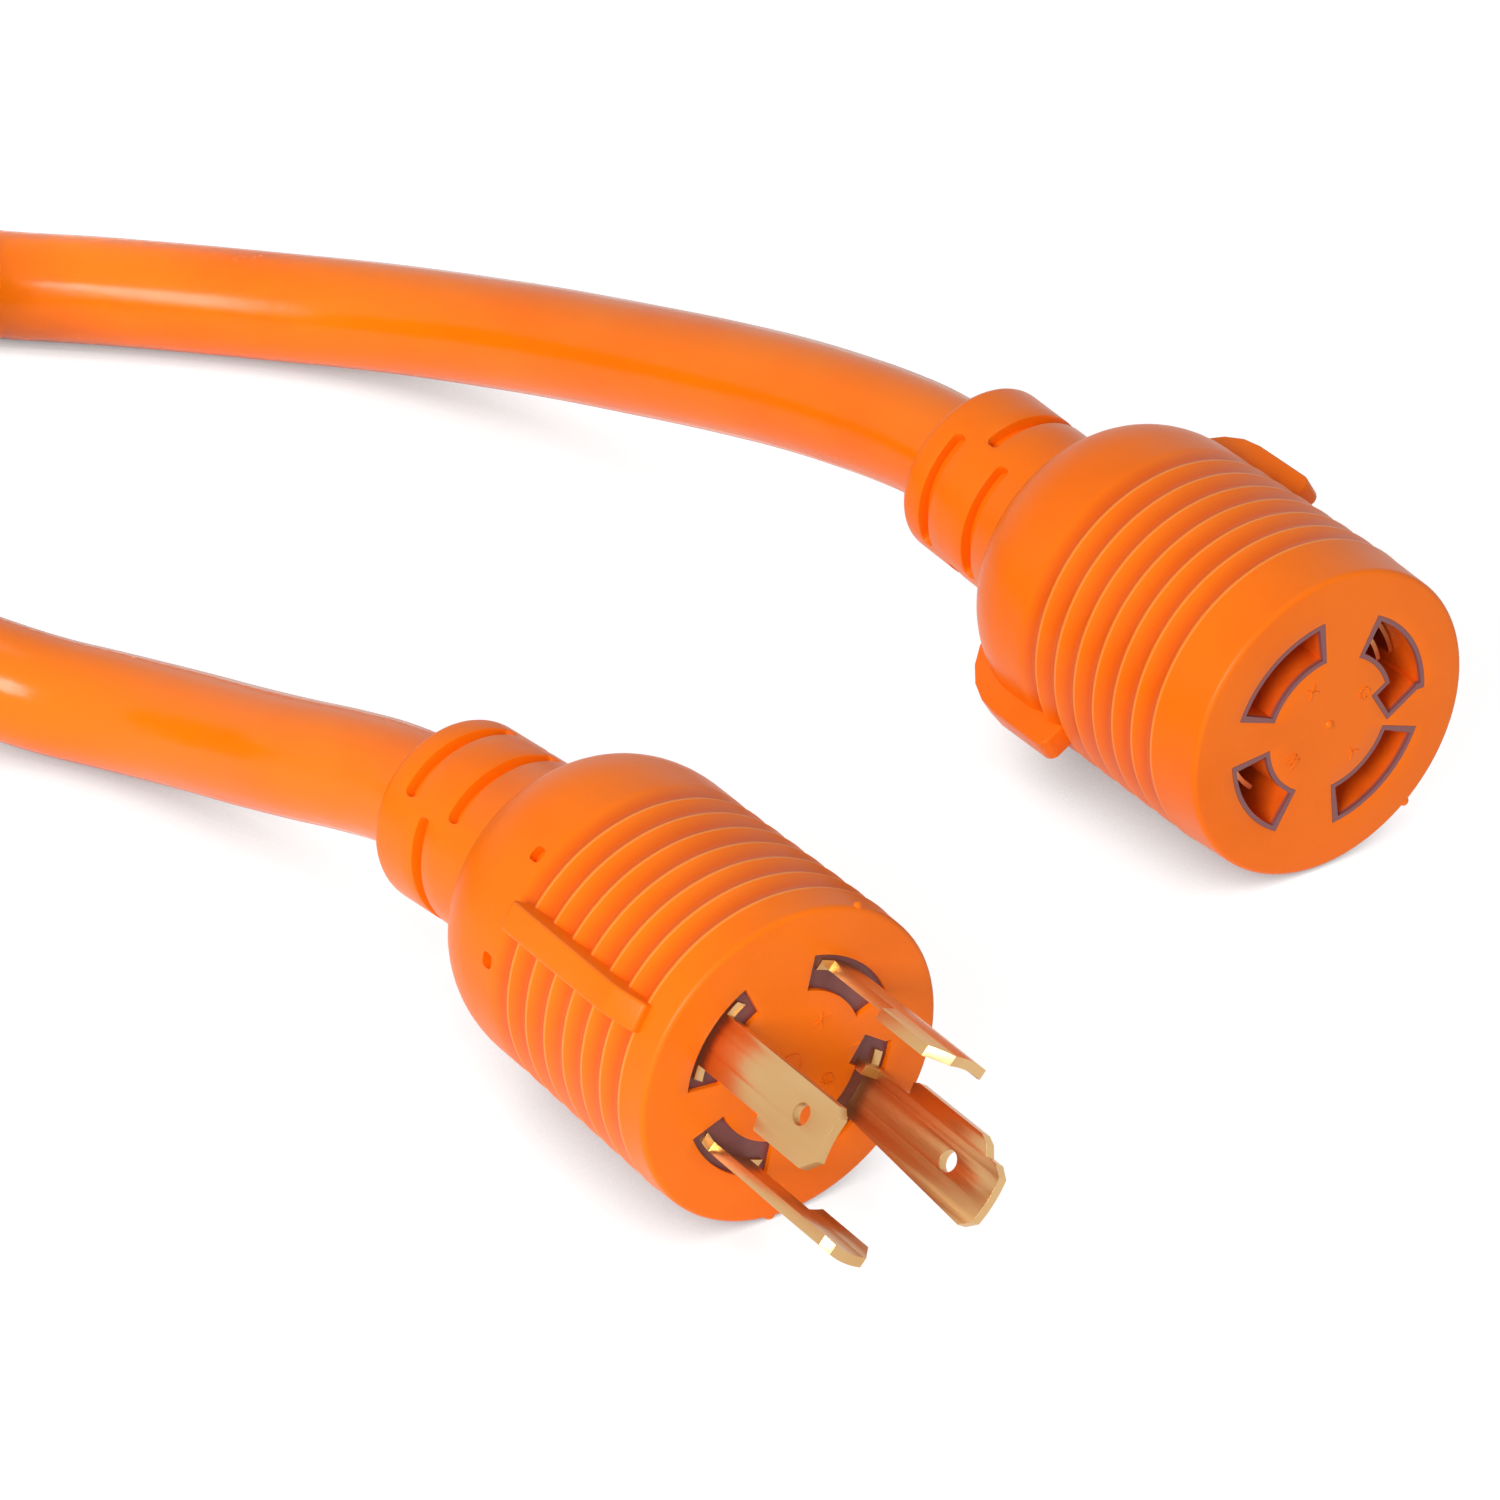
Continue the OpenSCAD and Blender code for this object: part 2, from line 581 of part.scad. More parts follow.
module contact(pole) {
    angle = conn_poles[pole];
    leaf(blade_ring_r + grip_gap, angle);
    leaf(blade_ring_r - blade_t - leaf_t - grip_gap, angle);
    contact_floor(angle);
    contact_tail(pole);
    crimp(conn_poles, pole, conn_crimp_z);
}
module connector_contact(pole) color("goldenrod") at_connector() contact(pole);
module connector_wire(pole, shade) color(shade) at_connector()
    wire_run(conn_poles, pole, conn_crimp_z, conn_foot);
module connector_conductors() color("chocolate") at_connector()
    for (i = [0:3]) bare_end(conn_poles, i, conn_crimp_z);

// ---- Cable ------------------------------------------------------------

module cord_lead_plug() color("orange") at_ground() tube(lifted(plug_route), cable_d);
module cord_lead_connector() color("orange") at_ground() tube(lifted(conn_route), cable_d);
module cord_coil() color("orange") at_ground() translate([coil_at[0], coil_at[1], 0])
    rotate_extrude() translate([coil_in_r, 0]) square([coil_out_r - coil_in_r, coil_h]);

// A strap closed round all the turns; the cable flattens a little where the
// strap lies under it.
module coil_tie(angle) color("dimgray") at_ground()
    translate([coil_at[0], coil_at[1], 0]) rotate([0, 0, angle])
        rotate_extrude(angle = tie_w / (coil_d / 2) * 180 / PI) difference() {
            translate([coil_in_r - tie_t, 0])
                square([coil_out_r - coil_in_r + 2 * tie_t, coil_h + tie_t]);
            translate([coil_in_r, tie_t]) square([coil_out_r - coil_in_r, coil_h - tie_t]);
        }

plug_body();
plug_core();
plug_blade(X);  // plug_blade_x
plug_blade(Y);  // plug_blade_y
plug_blade(W);  // plug_blade_w
plug_blade(G);  // plug_blade_g
plug_wire(X, "firebrick");  // plug_wire_red
plug_wire(Y, "black");  // plug_wire_black
plug_wire(W, "white");  // plug_wire_white
plug_wire(G, "green");  // plug_wire_green
plug_conductors();
connector_body();
connector_core();
connector_core_cap();
connector_contact(X);  // connector_contact_x
connector_contact(Y);  // connector_contact_y
connector_contact(W);  // connector_contact_w
connector_contact(G);  // connector_contact_g
connector_wire(X, "firebrick");  // connector_wire_red
connector_wire(Y, "black");  // connector_wire_black
connector_wire(W, "white");  // connector_wire_white
connector_wire(G, "green");  // connector_wire_green
connector_conductors();
cord_lead_plug();
cord_coil();
cord_lead_connector();
coil_tie(70);  // coil_tie_front
coil_tie(250);  // coil_tie_rear
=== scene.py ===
import math

import bmesh
import bpy
from mathutils import Matrix, Vector


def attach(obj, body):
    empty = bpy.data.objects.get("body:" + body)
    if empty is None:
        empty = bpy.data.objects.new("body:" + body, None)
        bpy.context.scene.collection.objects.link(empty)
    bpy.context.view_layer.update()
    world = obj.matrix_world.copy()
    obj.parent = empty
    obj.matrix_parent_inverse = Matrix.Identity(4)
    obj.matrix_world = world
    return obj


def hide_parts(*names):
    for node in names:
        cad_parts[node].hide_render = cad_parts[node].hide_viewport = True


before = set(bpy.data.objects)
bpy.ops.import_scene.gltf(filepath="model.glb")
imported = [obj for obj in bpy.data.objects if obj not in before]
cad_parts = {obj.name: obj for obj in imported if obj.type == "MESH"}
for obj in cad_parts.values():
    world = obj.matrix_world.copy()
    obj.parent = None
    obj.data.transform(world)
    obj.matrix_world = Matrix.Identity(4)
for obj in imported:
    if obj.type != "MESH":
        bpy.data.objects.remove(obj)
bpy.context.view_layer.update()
scene = bpy.context.scene
scene.view_settings.view_transform = "Standard"

# ---- Camera ----------------------------------------------------------------
# Stands well back in front of the two faces, to the plug's side of them, with
# a long lens that looks down at both ends and at the cable behind them.
camera_data = bpy.data.cameras.new("camera")
camera_data.lens = 180.2
camera_data.clip_start = 0.05
camera_data.clip_end = 20
camera = bpy.data.objects.new("camera", camera_data)
camera.matrix_world = (
    Matrix.Translation((0.7357, -0.5535, 0.6013))
    @ Matrix.Rotation(math.radians(54.862), 4, "Z")
    @ Matrix.Rotation(math.radians(90 - 31.723), 4, "X")
    @ Matrix.Rotation(math.radians(1.0), 4, "Z")
)
scene.collection.objects.link(camera)
scene.camera = camera

# ---- Cable -----------------------------------------------------------------
# One length of thick four-conductor cable in an orange vinyl jacket.  It comes
# out of the plug, is wound into a flat coil of nearly five turns on the ground,
# and comes back along the ground into the connector.
cable_diameter = 0.018
# The cable's way is given in mm, with its underside's height, from the point on the
# ground below the plug's face; this is where the part's own origin lies from there.
part_origin = Vector((-43.675, 58.72, 0))
plug_lead = [
    (-57.5, 0, 15.7), (-66, -0.4, 15.2), (-75, -0.8, 14.6), (-84, -1.4, 13.8), (-95, -2.8, 12.4),
    (-105, -5, 10.4), (-115, -7.5, 8), (-126, -9.6, 5.2), (-137, -12, 2.8), (-147, -15, 1),
    (-155, -18.6, 0.2), (-162, -23, 0.2), (-170, -29.6, 2), (-180, -39.2, 6), (-188.5, -52, 11),
    (-194.5, -66.5, 15.5),
]
connector_lead = [
    (-90.4, 116.6, 16.5), (-99, 116.1, 17.3), (-107.7, 115.7, 18.2), (-116.3, 115.2, 18.9),
    (-124.5, 114.4, 19.1), (-133, 113.1, 18.6), (-143, 111.1, 17.6), (-154, 108.6, 16.2),
    (-164, 106, 14.6), (-174, 103.3, 12.8), (-184, 100.6, 10.8), (-194.5, 97.7, 8.7),
    (-205, 94.5, 6.6), (-215, 91, 4.6), (-224, 87.2, 3), (-232, 83, 1.8), (-239.5, 78.1, 0.9),
    (-246, 72.8, 0.4), (-252.5, 67, 0.1), (-258.5, 61.1, 0), (-270, 48.8, 0), (-281, 36, 0),
    (-292.3, 25.1, 0), (-305.6, 16.8, 0),
]
coil_centre = (-297, -86)
outer_turn, inner_turn = 99, 81
turn_pitch = outer_turn - inner_turn


def eased(turned, start, length):
    # 0 up to the start and 1 from its end on, with a smooth step between, in degrees.
    part = min(max((turned - start) / length, 0), 1)
    return (1 - math.cos(math.pi * part)) / 2


def coil_point(turned):
    # The coil starts on top of the outer turn, climbs, crosses over to the inner
    # turns, and goes down through them and out to the outer turn on the ground.
    radius = outer_turn - turn_pitch * eased(turned, 380, 260) + turn_pitch * eased(turned, 1326, 100)
    rise = turn_pitch * (
        1 + eased(turned, 260, 95) - eased(turned, 656, 100) - eased(turned, 1016, 100))
    if 380 < turned < 656:
        off = min(radius - inner_turn, outer_turn - radius)
        rise = turn_pitch + math.sqrt(turn_pitch**2 - off**2)
    angle = math.radians(-turned)
    return (
        coil_centre[0] + radius * math.cos(angle),
        coil_centre[1] + radius * math.sin(angle),
        rise,
    )


coil_turned = 360 * 4 + 256
cable_way = (
    plug_lead
    + [coil_point(t) for t in range(0, coil_turned, 16)]
    + [coil_point(coil_turned)]
    + connector_lead[::-1]
)
cable_line = bpy.data.curves.new("cable", "CURVE")
cable_line.dimensions = "3D"
cable_line.bevel_depth = 1
cable_line.bevel_resolution = 7
cable_line.resolution_u = 6
spline = cable_line.splines.new("BEZIER")
spline.bezier_points.add(len(cable_way) - 1)
for knot, (x, y, underside) in zip(spline.bezier_points, cable_way):
    knot.co = (Vector((x, y, underside + turn_pitch / 2)) - part_origin) / 1000
    knot.radius = cable_diameter / 2
    knot.handle_left_type = knot.handle_right_type = "AUTO"
cable = bpy.data.objects.new("cable", cable_line)
scene.collection.objects.link(cable)
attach(cable, "root")
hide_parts("cord_lead_plug", "cord_coil", "cord_lead_connector")

# The jacket's orange and every other finish of the object shares this effect:
# a faint cloudiness of the colour and the fine pebble that a mould leaves.
surface_wear = bpy.data.node_groups.new("surface wear", "ShaderNodeTree")
for name, kind, start in (
    ("Color", "NodeSocketColor", (0.8, 0.8, 0.8, 1)),
    ("Dark Color", "NodeSocketColor", (0.6, 0.6, 0.6, 1)),
    ("Cloud Size", "NodeSocketFloat", 60),
    ("Grain Size", "NodeSocketFloat", 900),
    ("Grain Depth", "NodeSocketFloat", 0.1),
    ("Roughness", "NodeSocketFloat", 0.4),
    ("Roughness Spread", "NodeSocketFloat", 0.1),
    ("Stretch", "NodeSocketVector", (1, 1, 1)),
):
    socket = surface_wear.interface.new_socket(name, in_out="INPUT", socket_type=kind)
    socket.default_value = start
for name, kind in (
    ("Color", "NodeSocketColor"), ("Roughness", "NodeSocketFloat"), ("Normal", "NodeSocketVector"),
):
    surface_wear.interface.new_socket(name, in_out="OUTPUT", socket_type=kind)
wear_nodes, wear_links = surface_wear.nodes, surface_wear.links
wear_in = wear_nodes.new("NodeGroupInput")
wear_out = wear_nodes.new("NodeGroupOutput")
wear_place = wear_nodes.new("ShaderNodeTexCoord")
wear_stretch = wear_nodes.new("ShaderNodeVectorMath")
wear_stretch.operation = "MULTIPLY"
wear_links.new(wear_place.outputs["Object"], wear_stretch.inputs[0])
wear_links.new(wear_in.outputs["Stretch"], wear_stretch.inputs[1])
clouds = wear_nodes.new("ShaderNodeTexNoise")
clouds.inputs["Detail"].default_value = 5
wear_links.new(wear_stretch.outputs[0], clouds.inputs["Vector"])
wear_links.new(wear_in.outputs["Cloud Size"], clouds.inputs["Scale"])
cloud_mask = wear_nodes.new("ShaderNodeMapRange")
cloud_mask.inputs["From Min"].default_value = 0.42
cloud_mask.inputs["From Max"].default_value = 0.72
wear_links.new(clouds.outputs["Fac"], cloud_mask.inputs["Value"])
cloud_tint = wear_nodes.new("ShaderNodeMix")
cloud_tint.data_type = "RGBA"
wear_links.new(cloud_mask.outputs["Result"], cloud_tint.inputs["Factor"])
wear_links.new(wear_in.outputs["Color"], cloud_tint.inputs[6])
wear_links.new(wear_in.outputs["Dark Color"], cloud_tint.inputs[7])
wear_links.new(cloud_tint.outputs[2], wear_out.inputs["Color"])
cloud_gloss = wear_nodes.new("ShaderNodeMath")
cloud_gloss.operation = "MULTIPLY_ADD"
wear_links.new(cloud_mask.outputs["Result"], cloud_gloss.inputs[0])
wear_links.new(wear_in.outputs["Roughness Spread"], cloud_gloss.inputs[1])
wear_links.new(wear_in.outputs["Roughness"], cloud_gloss.inputs[2])
wear_links.new(cloud_gloss.outputs[0], wear_out.inputs["Roughness"])
grain = wear_nodes.new("ShaderNodeTexNoise")
grain.inputs["Detail"].default_value = 3
wear_links.new(wear_stretch.outputs[0], grain.inputs["Vector"])
wear_links.new(wear_in.outputs["Grain Size"], grain.inputs["Scale"])
grain_bump = wear_nodes.new("ShaderNodeBump")
grain_bump.inputs["Distance"].default_value = 0.0004
wear_links.new(wear_in.outputs["Grain Depth"], grain_bump.inputs["Strength"])
wear_links.new(grain.outputs["Fac"], grain_bump.inputs["Height"])
wear_links.new(grain_bump.outputs["Normal"], wear_out.inputs["Normal"])


def finish_material(name, color, dark, roughness, spread=0.1, cloud_size=60, grain_size=900,
                    grain_depth=0.1, stretch=(1, 1, 1), metallic=0.0, specular=0.5):
    material = bpy.data.materials.new(name)
    material.use_nodes = True
    nodes, links = material.node_tree.nodes, material.node_tree.links
    shader = nodes["Principled BSDF"]
    shader.inputs["Metallic"].default_value = metallic
    shader.inputs["Specular IOR Level"].default_value = specular
    wear = nodes.new("ShaderNodeGroup")
    wear.name = "wear"
    wear.node_tree = surface_wear
    for socket, value in (
        ("Color", (*color, 1)), ("Dark Color", (*dark, 1)), ("Cloud Size", cloud_size),
        ("Grain Size", grain_size), ("Grain Depth", grain_depth), ("Roughness", roughness),
        ("Roughness Spread", spread), ("Stretch", stretch),
    ):
        wear.inputs[socket].default_value = value
    links.new(wear.outputs["Color"], shader.inputs["Base Color"])
    links.new(wear.outputs["Roughness"], shader.inputs["Roughness"])
    links.new(wear.outputs["Normal"], shader.inputs["Normal"])
    return material


jacket_vinyl = finish_material(
    "jacket vinyl", (1.0, 0.205, 0.002), (0.97, 0.165, 0.001), 0.18, 0.12, 35, 500, 0.12,
    specular=0.27)
cable_line.materials.append(jacket_vinyl)

# ---- Coil straps -------------------------------------------------------------
# Two hook-and-loop straps of black woven tape, drawn tight round all the turns
# of the coil, each with its end lapped over the outside of the loop.
strap_width, strap_thickness = 0.025, 0.0016
strap_clearance = cable_diameter / 2 + 0.0002
strap_tape = finish_material(
    "strap tape", (0.035, 0.035, 0.04), (0.02, 0.02, 0.023), 0.85, 0.1, 80, 1500, 0.5,
    specular=0.2)
strap_links = strap_tape.node_tree.links
strap_weave = strap_tape.node_tree.nodes.new("ShaderNodeTexWave")
strap_weave.bands_direction = "DIAGONAL"
strap_weave.inputs["Scale"].default_value = 350
strap_weave.inputs["Distortion"].default_value = 1.5
strap_place = strap_tape.node_tree.nodes.new("ShaderNodeTexCoord")
strap_links.new(strap_place.outputs["Object"], strap_weave.inputs["Vector"])
strap_bump = strap_tape.node_tree.nodes.new("ShaderNodeBump")
strap_bump.inputs["Strength"].default_value = 0.6
strap_bump.inputs["Distance"].default_value = 0.0005
strap_links.new(strap_weave.outputs["Fac"], strap_bump.inputs["Height"])
strap_links.new(strap_tape.node_tree.nodes["wear"].outputs["Normal"], strap_bump.inputs["Normal"])
strap_links.new(strap_bump.outputs["Normal"],
                strap_tape.node_tree.nodes["Principled BSDF"].inputs["Normal"])
coil_axis = (Vector((coil_centre[0], coil_centre[1], 0)) - part_origin) / 1000
strap_turn = strap_width * 2000 / (outer_turn + inner_turn)


def strap_edge(strap_mesh, turned_to, clearance, lapped):
    # One edge of the tape, drawn tight round the turns that pass through it: their
    # hull.  The lapped end covers only the outside of the loop, above its foot.
    edge = bmesh.new()
    for turned in range(turned_to, coil_turned, 360):
        x, y, underside = coil_point(turned)
        distance = math.hypot(x - coil_centre[0], y - coil_centre[1]) / 1000
        bmesh.ops.create_cone(
            edge, segments=40, radius1=clearance, radius2=clearance, depth=0.002,
            matrix=Matrix.Translation((distance, 0, underside / 1000 + cable_diameter / 2))
            @ Matrix.Rotation(math.radians(90), 4, "X"))
    hull = bmesh.ops.convex_hull(edge, input=edge.verts)
    inside = hull["geom_interior"] + hull["geom_unused"]
    spare = list({v for v in inside if isinstance(v, bmesh.types.BMVert)})
    bmesh.ops.delete(edge, geom=spare, context="VERTS")
    bmesh.ops.delete(edge, geom=[v for v in edge.verts if v.co.y > 0], context="VERTS")
    bmesh.ops.delete(edge, geom=[e for e in edge.edges if not e.is_boundary], context="EDGES")
    if lapped:
        outside = max(v.co.x for v in edge.verts) - 0.006
        bmesh.ops.delete(
            edge, geom=[v for v in edge.verts if v.co.x < outside or v.co.z < 0.008], context="VERTS")
    for pair in edge.edges:
        strap_mesh.edges.new([
            strap_mesh.verts.new((v.co.x, 0, max(v.co.z, strap_thickness))) for v in pair.verts])
    edge.free()
    bmesh.ops.remove_doubles(strap_mesh, verts=strap_mesh.verts, dist=0.00001)


for strap_node, strap_angle in (("coil_tie_front", 70), ("coil_tie_rear", 250)):
    middle = strap_angle + math.degrees(strap_turn) / 2
    strap_mesh = bmesh.new()
    strap_edge(strap_mesh, round(360 - middle), strap_clearance, False)
    strap_edge(strap_mesh, round(360 - middle), strap_clearance + 1.1 * strap_thickness, True)
    bmesh.ops.rotate(strap_mesh, verts=strap_mesh.verts, cent=(0, 0, 0),
                     matrix=Matrix.Rotation(math.radians(strap_angle), 3, "Z"))
    bmesh.ops.spin(strap_mesh, geom=strap_mesh.verts[:] + strap_mesh.edges[:], cent=(0, 0, 0),
                   axis=(0, 0, 1), angle=strap_turn, steps=8)
    # The tape keeps one width on the inner and on the outer turns.
    for vert in strap_mesh.verts:
        out = vert.co.xy.length
        turn = math.atan2(vert.co.y, vert.co.x) % math.tau - math.radians(middle)
        turn *= (outer_turn + inner_turn) / 2000 / out
        turn += math.radians(middle)
        vert.co.xy = Vector((math.cos(turn), math.sin(turn))) * out
    bmesh.ops.translate(strap_mesh, verts=strap_mesh.verts, vec=coil_axis)
    bmesh.ops.recalc_face_normals(strap_mesh, faces=strap_mesh.faces)
    for face in strap_mesh.faces:
        face.smooth = True
    strap_data = bpy.data.meshes.new(strap_node + " tape")
    strap_mesh.to_mesh(strap_data)
    strap_mesh.free()
    strap_data.materials.append(strap_tape)
    strap = bpy.data.objects.new(strap_node + "_tape", strap_data)
    scene.collection.objects.link(strap)
    tape_wall = strap.modifiers.new("tape wall", "SOLIDIFY")
    tape_wall.thickness = strap_thickness
    tape_wall.offset = 1
    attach(strap, "root")
    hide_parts(strap_node)

# ---- Moulded bodies ----------------------------------------------------------
# The plug and the connector are each one thick moulding of soft orange vinyl
# round a hard core: a flat face, seven grip ridges, a smooth barrel and a round
# shoulder.  The moulding is spun round its axis, with its face at x = 0, in mm.
body_vinyl = finish_material(
    "body vinyl", (1.0, 0.19, 0.002), (0.95, 0.165, 0.001), 0.33, 0.1, 45, 1200, 0.1,
    specular=0.2)
body_nodes, body_links = body_vinyl.node_tree.nodes, body_vinyl.node_tree.links
crest_mask = body_nodes.new("ShaderNodeAttribute")
crest_mask.attribute_name = "crest"
color_source = body_nodes["wear"].outputs["Color"]
# Each crest gets a painted highlight and each valley painted shade, mixed into the vinyl's own colour.
for name, low, high, strength, color in (
    ("painted crest highlights", 0.35, 1.0, 0.75, (1.0, 0.33, 0.055, 1)),
    ("shaded valleys", -0.1, -1.0, 0.6, (0.72, 0.075, 0.0, 1)),
):
    reach = body_nodes.new("ShaderNodeMapRange")
    reach.inputs["From Min"].default_value = low
    reach.inputs["From Max"].default_value = high
    reach.inputs["To Max"].default_value = strength
    body_links.new(crest_mask.outputs["Fac"], reach.inputs["Value"])
    blend = body_nodes.new("ShaderNodeMix")
    blend.name = name
    blend.data_type = "RGBA"
    blend.inputs[7].default_value = color
    body_links.new(reach.outputs["Result"], blend.inputs["Factor"])
    body_links.new(color_source, blend.inputs[6])
    color_source = blend.outputs[2]
body_links.new(color_source, body_nodes["Principled BSDF"].inputs["Base Color"])
skin = 0.8
rim_round = 0.8
shoulder_length, shoulder_foot = 13.5, 15
body_bore = 19.3
bar_half = 2.2
sharp_corner = 0.6
ridge_count, ridge_pitch = 7, 4.75
# How far each point of a ridge lies behind its crest, and how far below it.
ridge_section = (
    (-0.4, 0.09), (-0.12, 0.01), (0.12, 0.01), (0.35, 0.1), (1.0, 0.5), (1.35, 0.63), (1.9, 0.65))


def body_outline(rim, crest, barrel, band, length, rings):
    outline = [(0, ring) for ring in rings]
    for step in range(7):
        turn = math.radians(15 * step)
        outline.append((
            rim_round * (math.cos(turn) - 1), rim - rim_round + rim_round * math.sin(turn)))
    outline.append((-rim_round - 0.6, rim + 0.02))
    for ridge in range(ridge_count):
        top = crest + (barrel + 0.1 - crest) * ridge / (ridge_count - 1)
        for behind, below in ridge_section:
            outline.append((-band - ridge_pitch * ridge - behind, top - below))
    ridges_end = -band - ridge_pitch * ridge_count
    outline.append((ridges_end + 0.7, barrel - 0.04))
    outline.append((ridges_end, barrel))
    outline.append((ridges_end - 2.2, barrel))
    for step in range(16):
        turn = math.radians(6 * step)
        outline.append((
            -length - shoulder_length * math.sin(turn),
            shoulder_foot + (barrel - shoulder_foot) * math.cos(turn)))
    outline.append((-length - shoulder_length, 0))
    return outline


def spun(outlines, marks, finest=3.0):
    # Spins outlines of (x, radius) round the X axis with a column at every mark.
    shape = bmesh.new()
    shape.verts.layers.float.new("crest")
    marks = sorted({round(mark % 360, 3) for mark in marks})
    first = math.radians(marks[0])
    edge = []
    for outline in outlines:
        chain = [shape.verts.new((x, r * math.cos(first), r * math.sin(first))) for x, r in outline]
        edge += chain + [shape.edges.new(pair) for pair in zip(chain, chain[1:])]
    for start, end in zip(marks, marks[1:] + [marks[0] + 360]):
        edge = bmesh.ops.spin(
            shape, geom=edge, cent=(0, 0, 0), axis=(1, 0, 0), angle=math.radians(end - start),
            steps=max(1, round((end - start) / finest)))["geom_last"]
    bmesh.ops.remove_doubles(shape, verts=shape.verts, dist=0.0005)
    return shape


def mark_crests(shape, band, crest, barrel):
    # 1 along the crest of each ridge, where a highlight is painted lighter, and -1 in
    # the valley behind it, where shade is painted darker.
    layer = shape.verts.layers.float["crest"]
    for vert in shape.verts:
        along = (-band - vert.co.x) / ridge_pitch
        ridge = round(along)
        behind = (along - ridge) * ridge_pitch
        if 0 <= ridge < ridge_count and vert.co.yz.length > barrel - 0.9:
            if abs(behind) < 0.2:
                vert[layer] = 1
            elif 0.9 < behind < 2:
                vert[layer] = -1


def pole_axes(angle):
    turn = math.radians(angle)
    return (Vector((0, math.cos(turn), math.sin(turn))), Vector((0, -math.sin(turn), math.cos(turn))))


def on_disc(face):
    return abs(face.normal.x) > 0.99 and face.calc_center_median().x > -skin - 0.01


def open_face(shape, poles, inner, outer):
    # Each pole is (middle angle, half the angle, and for the ground pole the two
    # sides and the inner end of its leg).
    shape.normal_update()
    for angle, half, leg in poles:
        away, side = pole_axes(angle)
        if leg:
            cuts = ((side * leg[0], side), (side * leg[1], side), (away * leg[2], away))
            for plane_co, plane_no in cuts:
                shape.normal_update()
                near = [
                    f for f in shape.faces
                    if on_disc(f) and f.calc_center_median().yz.length < outer
                    and f.calc_center_median().dot(away) > 0.62 * f.calc_center_median().yz.length]
                around = {e for f in near for e in f.edges} | {v for f in near for v in f.verts}
                bmesh.ops.bisect_plane(
                    shape, geom=near + list(around), dist=0.0005, plane_co=plane_co,
                    plane_no=plane_no)
    shape.normal_update()
    opened = []
    for face in shape.faces:
        middle = face.calc_center_median()
        if not on_disc(face) or middle.yz.length > outer:
            continue
        for angle, half, leg in poles:
            away, side = pole_axes(angle)
            n, t = middle.dot(away), middle.dot(side)
            in_arc = middle.yz.length > inner and abs(math.degrees(math.atan2(t, n))) < half
            if in_arc or (leg and leg[0] < t < leg[1] and n > leg[2]):
                opened.append(face)
    bmesh.ops.delete(shape, geom=opened, context="FACES")
    rim = [e for e in shape.edges if e.is_boundary and max(v.co.x for v in e.verts) > -0.01]
    wall = bmesh.ops.extrude_edge_only(shape, edges=rim)["geom"]
    bmesh.ops.translate(
        shape, verts=[v for v in wall if isinstance(v, bmesh.types.BMVert)], vec=(-skin, 0, 0))
    bmesh.ops.remove_doubles(shape, verts=shape.verts, dist=0.002)
    shape.normal_update()
    bmesh.ops.recalc_face_normals(shape, faces=shape.faces)
    lips = [
        e for e in shape.edges
        if len(e.link_faces) == 2 and all(abs(v.co.x) < 0.001 for v in e.verts)
        and e.calc_face_angle(0) > 1]
    bmesh.ops.bevel(shape, geom=lips, offset=0.14, segments=2, profile=0.5, affect="EDGES",
                    material=-1, clamp_overlap=True)


def add_finger_bar(shape, angle, outline, half_width):
    # A bar is a closed block with rounded edges whose root is sunk in the barrel.
    away, side = pole_axes(angle)
    corners = [shape.verts.new(away * n + side * -half_width + Vector((x, 0, 0))) for x, n in outline]
    flank = shape.faces.new(corners)
    pushed = bmesh.ops.extrude_face_region(shape, geom=[flank])["geom"]
    bmesh.ops.translate(shape, verts=[v for v in pushed if isinstance(v, bmesh.types.BMVert)],
                        vec=side * 2 * half_width)
    block = corners + [v for v in pushed if isinstance(v, bmesh.types.BMVert)]
    faces = list({f for v in block for f in v.link_faces})
    bmesh.ops.recalc_face_normals(shape, faces=faces)
    root = min(n for x, n in outline)
    rounded = [
        e for e in {e for f in faces for e in f.edges}
        if max(v.co.dot(away) for v in e.verts) > root + 0.1 and e.calc_face_angle(0) > 0.35]
    bmesh.ops.bevel(shape, geom=rounded, offset=0.45, segments=3, profile=0.5, affect="EDGES",
                    material=-1, clamp_overlap=True)


def sink_dimple(shape, x, angle, radius):
    # One cell of the barrel is rounded at its corners and pushed in.
    away = pole_axes(angle)[0]
    spot = away * radius + Vector((x, 0, 0))

    def nearest():
        return min(shape.faces, key=lambda face: (face.calc_center_median() - spot).length)

    bmesh.ops.inset_individual(shape, faces=[nearest()], thickness=0.05)
    bmesh.ops.bevel(shape, geom=nearest().verts[:], offset=0.66, segments=4, profile=0.5,
                    affect="VERTICES", material=-1)
    cell = nearest()
    sunk = bmesh.ops.extrude_face_region(shape, geom=[cell])["geom"]
    bmesh.ops.delete(shape, geom=[cell], context="FACES_ONLY")
    bmesh.ops.translate(shape, verts=[v for v in sunk if isinstance(v, bmesh.types.BMVert)],
                        vec=away * -1.5)


# The letters that mark the poles of every plug of this pattern, as straight strokes.
letter_height, letter_width = 1.9, 1.7
pole_letters = {
    "x": [((-0.5, 0), (0.5, 1)), ((-0.5, 1), (0.5, 0))],
    "y": [((-0.5, 1), (0, 0.5)), ((0.5, 1), (0, 0.5)), ((0, 0.5), (0, 0))],
    "w": [((-0.6, 1), (-0.3, 0)), ((-0.3, 0), (0, 0.8)), ((0, 0.8), (0.3, 0)), ((0.3, 0), (0.6, 1))],
    "g": [
        ((0.45, 0.8), (0.1, 1)), ((0.1, 1), (-0.35, 0.85)), ((-0.35, 0.85), (-0.5, 0.5)),
        ((-0.5, 0.5), (-0.35, 0.15)), ((-0.35, 0.15), (0.1, 0)), ((0.1, 0), (0.45, 0.15)),
        ((0.45, 0.15), (0.45, 0.45)), ((0.45, 0.45), (0.15, 0.45)),
    ],
}


